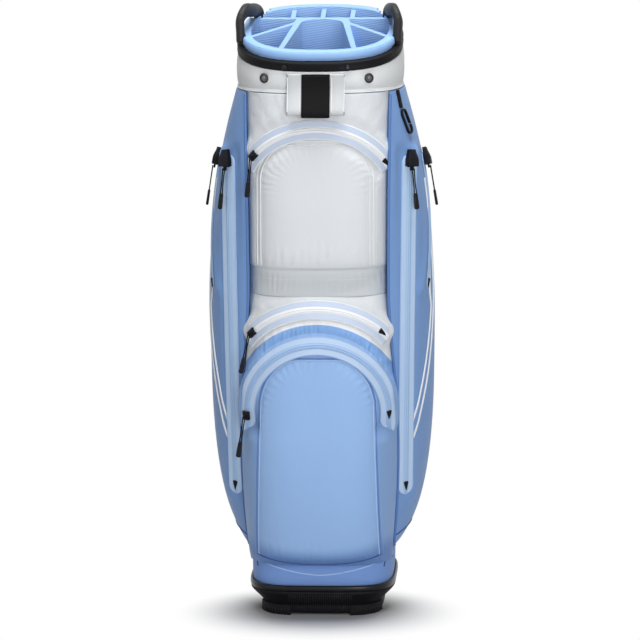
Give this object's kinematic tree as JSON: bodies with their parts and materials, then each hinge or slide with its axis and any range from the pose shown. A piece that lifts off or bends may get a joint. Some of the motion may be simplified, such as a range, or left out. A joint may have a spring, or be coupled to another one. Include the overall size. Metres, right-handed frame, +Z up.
{
  "type": "golf bag",
  "caption": "Free-standing cart-type golf bag with a divided top, moulded base, side handles, arched and side zipped pockets, a front lift handle and a shoulder strap.",
  "frame": {"origin": "bottom centre of the bounding box, on the ground under the feet", "axes": "+Z up along the bag; -Y towards the front, where the ball pocket is; +X towards the side that carries the accessory clip"},
  "size_m": [0.3452, 0.3296, 0.8964],
  "materials": {
    "base_plastic": "black moulded plastic, satin",
    "black_plastic": "black moulded plastic",
    "blue_cloth": "light blue coated cloth",
    "divider_plastic": "light blue moulded plastic",
    "foot_rubber": "black rubber",
    "panel_cloth": "blue lining cloth",
    "snap_metal": "dark plated snap",
    "stay_fibre": "black glass-fibre rod",
    "webbing": "black woven webbing",
    "white_cloth": "white coated cloth, padded",
    "zip_tape": "pale blue woven zip tape with a covered coil"
  },
  "bodies": {
    "bag": {"base_tub": "base_plastic", "base_floor": "base_plastic", "foot_front_left": "foot_rubber", "foot_front_right": "foot_rubber", "foot_rear_left": "foot_rubber", "foot_rear_right": "foot_rubber", "body_tube": "blue_cloth", "stay_left": "stay_fibre", "stay_right": "stay_fibre", "stay_rear": "stay_fibre", "divider_top": "divider_plastic", "divider_panels": "panel_cloth", "handle_right": "black_plastic", "handle_left": "black_plastic", "top_collar": "black_plastic", "top_cuff": "white_cloth", "hood_snap_front_left": "snap_metal", "hood_snap_front_right": "snap_metal", "hood_snap_rear_left": "snap_metal", "hood_snap_rear_right": "snap_metal", "collar_stud_left": "black_plastic", "collar_stud_right": "black_plastic", "upper_pocket": "white_cloth", "ball_pocket": "blue_cloth", "apparel_pocket_right": "blue_cloth", "apparel_pocket_left": "blue_cloth", "upper_zip_track": "zip_tape", "middle_zip_track": "zip_tape", "ball_zip_track": "zip_tape", "edge_zip_track_right": "zip_tape", "edge_zip_garage_right": "black_plastic", "edge_zip_track_left": "zip_tape", "edge_zip_garage_left": "black_plastic", "outer_zip_track_right": "zip_tape", "outer_zip_garage_right": "black_plastic", "outer_zip_track_left": "zip_tape", "outer_zip_garage_left": "black_plastic", "accessory_tether": "webbing", "strap_anchor_upper": "black_plastic", "strap_anchor_lower": "black_plastic", "strap_webbing": "webbing", "strap_pad": "panel_cloth"},
    "upper_zip_slider": {"upper_zip_slider": "black_plastic"},
    "upper_zip_pull": {"upper_zip_pull": "black_plastic"},
    "middle_zip_slider": {"middle_zip_slider": "black_plastic"},
    "middle_zip_pull": {"middle_zip_pull": "black_plastic"},
    "ball_zip_slider": {"ball_zip_slider": "black_plastic"},
    "ball_zip_pull": {"ball_zip_pull": "black_plastic"},
    "edge_zip_slider_right": {"edge_zip_slider_right": "black_plastic"},
    "edge_zip_pull_right": {"edge_zip_pull_right": "black_plastic"},
    "outer_zip_slider_right": {"outer_zip_slider_right": "black_plastic"},
    "outer_zip_pull_right": {"outer_zip_pull_right": "black_plastic"},
    "edge_zip_slider_left": {"edge_zip_slider_left": "black_plastic"},
    "edge_zip_pull_left": {"edge_zip_pull_left": "black_plastic"},
    "outer_zip_slider_left": {"outer_zip_slider_left": "black_plastic"},
    "outer_zip_pull_left": {"outer_zip_pull_left": "black_plastic"},
    "lift_handle": {"lift_handle_pad": "white_cloth", "lift_handle_webbing": "webbing"},
    "clip": {"accessory_clip": "black_plastic"},
    "gate": {"clip_gate": "black_plastic"}
  },
  "joints": [
    {"name": "upper_zip_run", "type": "hinge", "parent": "bag", "child": "upper_zip_slider", "pos_m": [0, -0.04909, 0.62711], "axis": [0, 0.8563, 0.5166], "range_deg": [0, 108.7]},
    {"name": "upper_zip_pull_hang", "type": "hinge", "parent": "upper_zip_slider", "child": "upper_zip_pull", "pos_m": [-0.09587, -0.09093, 0.68218], "axis": [-0.5125, -0.8544, -0.0861], "range_deg": [0, 89.59]},
    {"name": "middle_zip_run", "type": "hinge", "parent": "bag", "child": "middle_zip_slider", "pos_m": [0, -0.0592, 0.36773], "axis": [0, 0.8099, 0.5865], "range_deg": [0, 98.55]},
    {"name": "middle_zip_pull_hang", "type": "hinge", "parent": "middle_zip_slider", "child": "middle_zip_pull", "pos_m": [-0.09981, -0.10819, 0.42495], "axis": [-0.6114, -0.7913, -0.0052], "range_deg": [0, 75.93]},
    {"name": "ball_zip_run", "type": "hinge", "parent": "bag", "child": "ball_zip_slider", "pos_m": [0, -0.11475, 0.31238], "axis": [0, 0.9652, 0.2617], "range_deg": [0, 178.74]},
    {"name": "ball_zip_pull_hang", "type": "hinge", "parent": "ball_zip_slider", "child": "ball_zip_pull", "pos_m": [-0.10762, -0.12095, 0.30354], "axis": [-0.4864, -0.8346, -0.2586], "range_deg": [0, 164.4]},
    {"name": "edge_zip_run_right", "type": "hinge", "parent": "bag", "child": "edge_zip_slider_right", "pos_m": [0.09075, 2.06418, 0.36906], "axis": [0.9997, 0.0174, -0.0162], "range_deg": [0, 12.44]},
    {"name": "edge_zip_pull_lift_right", "type": "hinge", "parent": "edge_zip_slider_right", "child": "edge_zip_pull_right", "pos_m": [0.13825, -0.05947, 0.66055], "axis": [-0.7842, -0.6205, 0], "range_deg": [0, 75]},
    {"name": "outer_zip_run_right", "type": "hinge", "parent": "bag", "child": "outer_zip_slider_right", "pos_m": [-0.49059, -0.1908, 0.60501], "axis": [-0.2758, 0.9157, -0.2923], "range_deg": [0, 14.21]},
    {"name": "outer_zip_pull_lift_right", "type": "hinge", "parent": "outer_zip_slider_right", "child": "outer_zip_pull_right", "pos_m": [0.16095, 0.01774, 0.65567], "axis": [-0.0505, -0.9987, 0], "range_deg": [0, 75]},
    {"name": "edge_zip_run_left", "type": "hinge", "parent": "bag", "child": "edge_zip_slider_left", "pos_m": [-0.09075, 2.06418, 0.36906], "axis": [0.9997, -0.0174, 0.0162], "range_deg": [0, 12.44]},
    {"name": "edge_zip_pull_lift_left", "type": "hinge", "parent": "edge_zip_slider_left", "child": "edge_zip_pull_left", "pos_m": [-0.13825, -0.05947, 0.66055], "axis": [-0.7842, 0.6205, 0], "range_deg": [0, 75]},
    {"name": "outer_zip_run_left", "type": "hinge", "parent": "bag", "child": "outer_zip_slider_left", "pos_m": [0.49059, -0.1908, 0.60501], "axis": [-0.2758, -0.9157, 0.2923], "range_deg": [0, 14.21]},
    {"name": "outer_zip_pull_lift_left", "type": "hinge", "parent": "outer_zip_slider_left", "child": "outer_zip_pull_left", "pos_m": [-0.16095, 0.01774, 0.65567], "axis": [-0.0505, 0.9987, 0], "range_deg": [0, 75]},
    {"name": "lift_handle_swing", "type": "hinge", "parent": "bag", "child": "lift_handle", "pos_m": [0, -0.09893, 0.803], "axis": [-1, 0, 0], "range_deg": [0, 75]},
    {"name": "clip_lift", "type": "hinge", "parent": "bag", "child": "clip", "pos_m": [0.12294, -0.04344, 0.74462], "axis": [-0.4514, -0.8923, 0], "range_deg": [0, 75]},
    {"name": "clip_gate_open", "type": "hinge", "parent": "clip", "child": "gate", "pos_m": [0.13288, -0.03312, 0.72411], "axis": [0.8741, -0.4422, 0.2012], "range_deg": [0, 20], "stiffness_Nm_per_rad": 0.01}
  ],
  "couplings": [
    {"joint": "upper_zip_pull_hang", "follows": "upper_zip_run", "ratio": 0.81504},
    {"joint": "middle_zip_pull_hang", "follows": "middle_zip_run", "ratio": 0.76035},
    {"joint": "ball_zip_pull_hang", "follows": "ball_zip_run", "ratio": 0.91418}
  ]
}
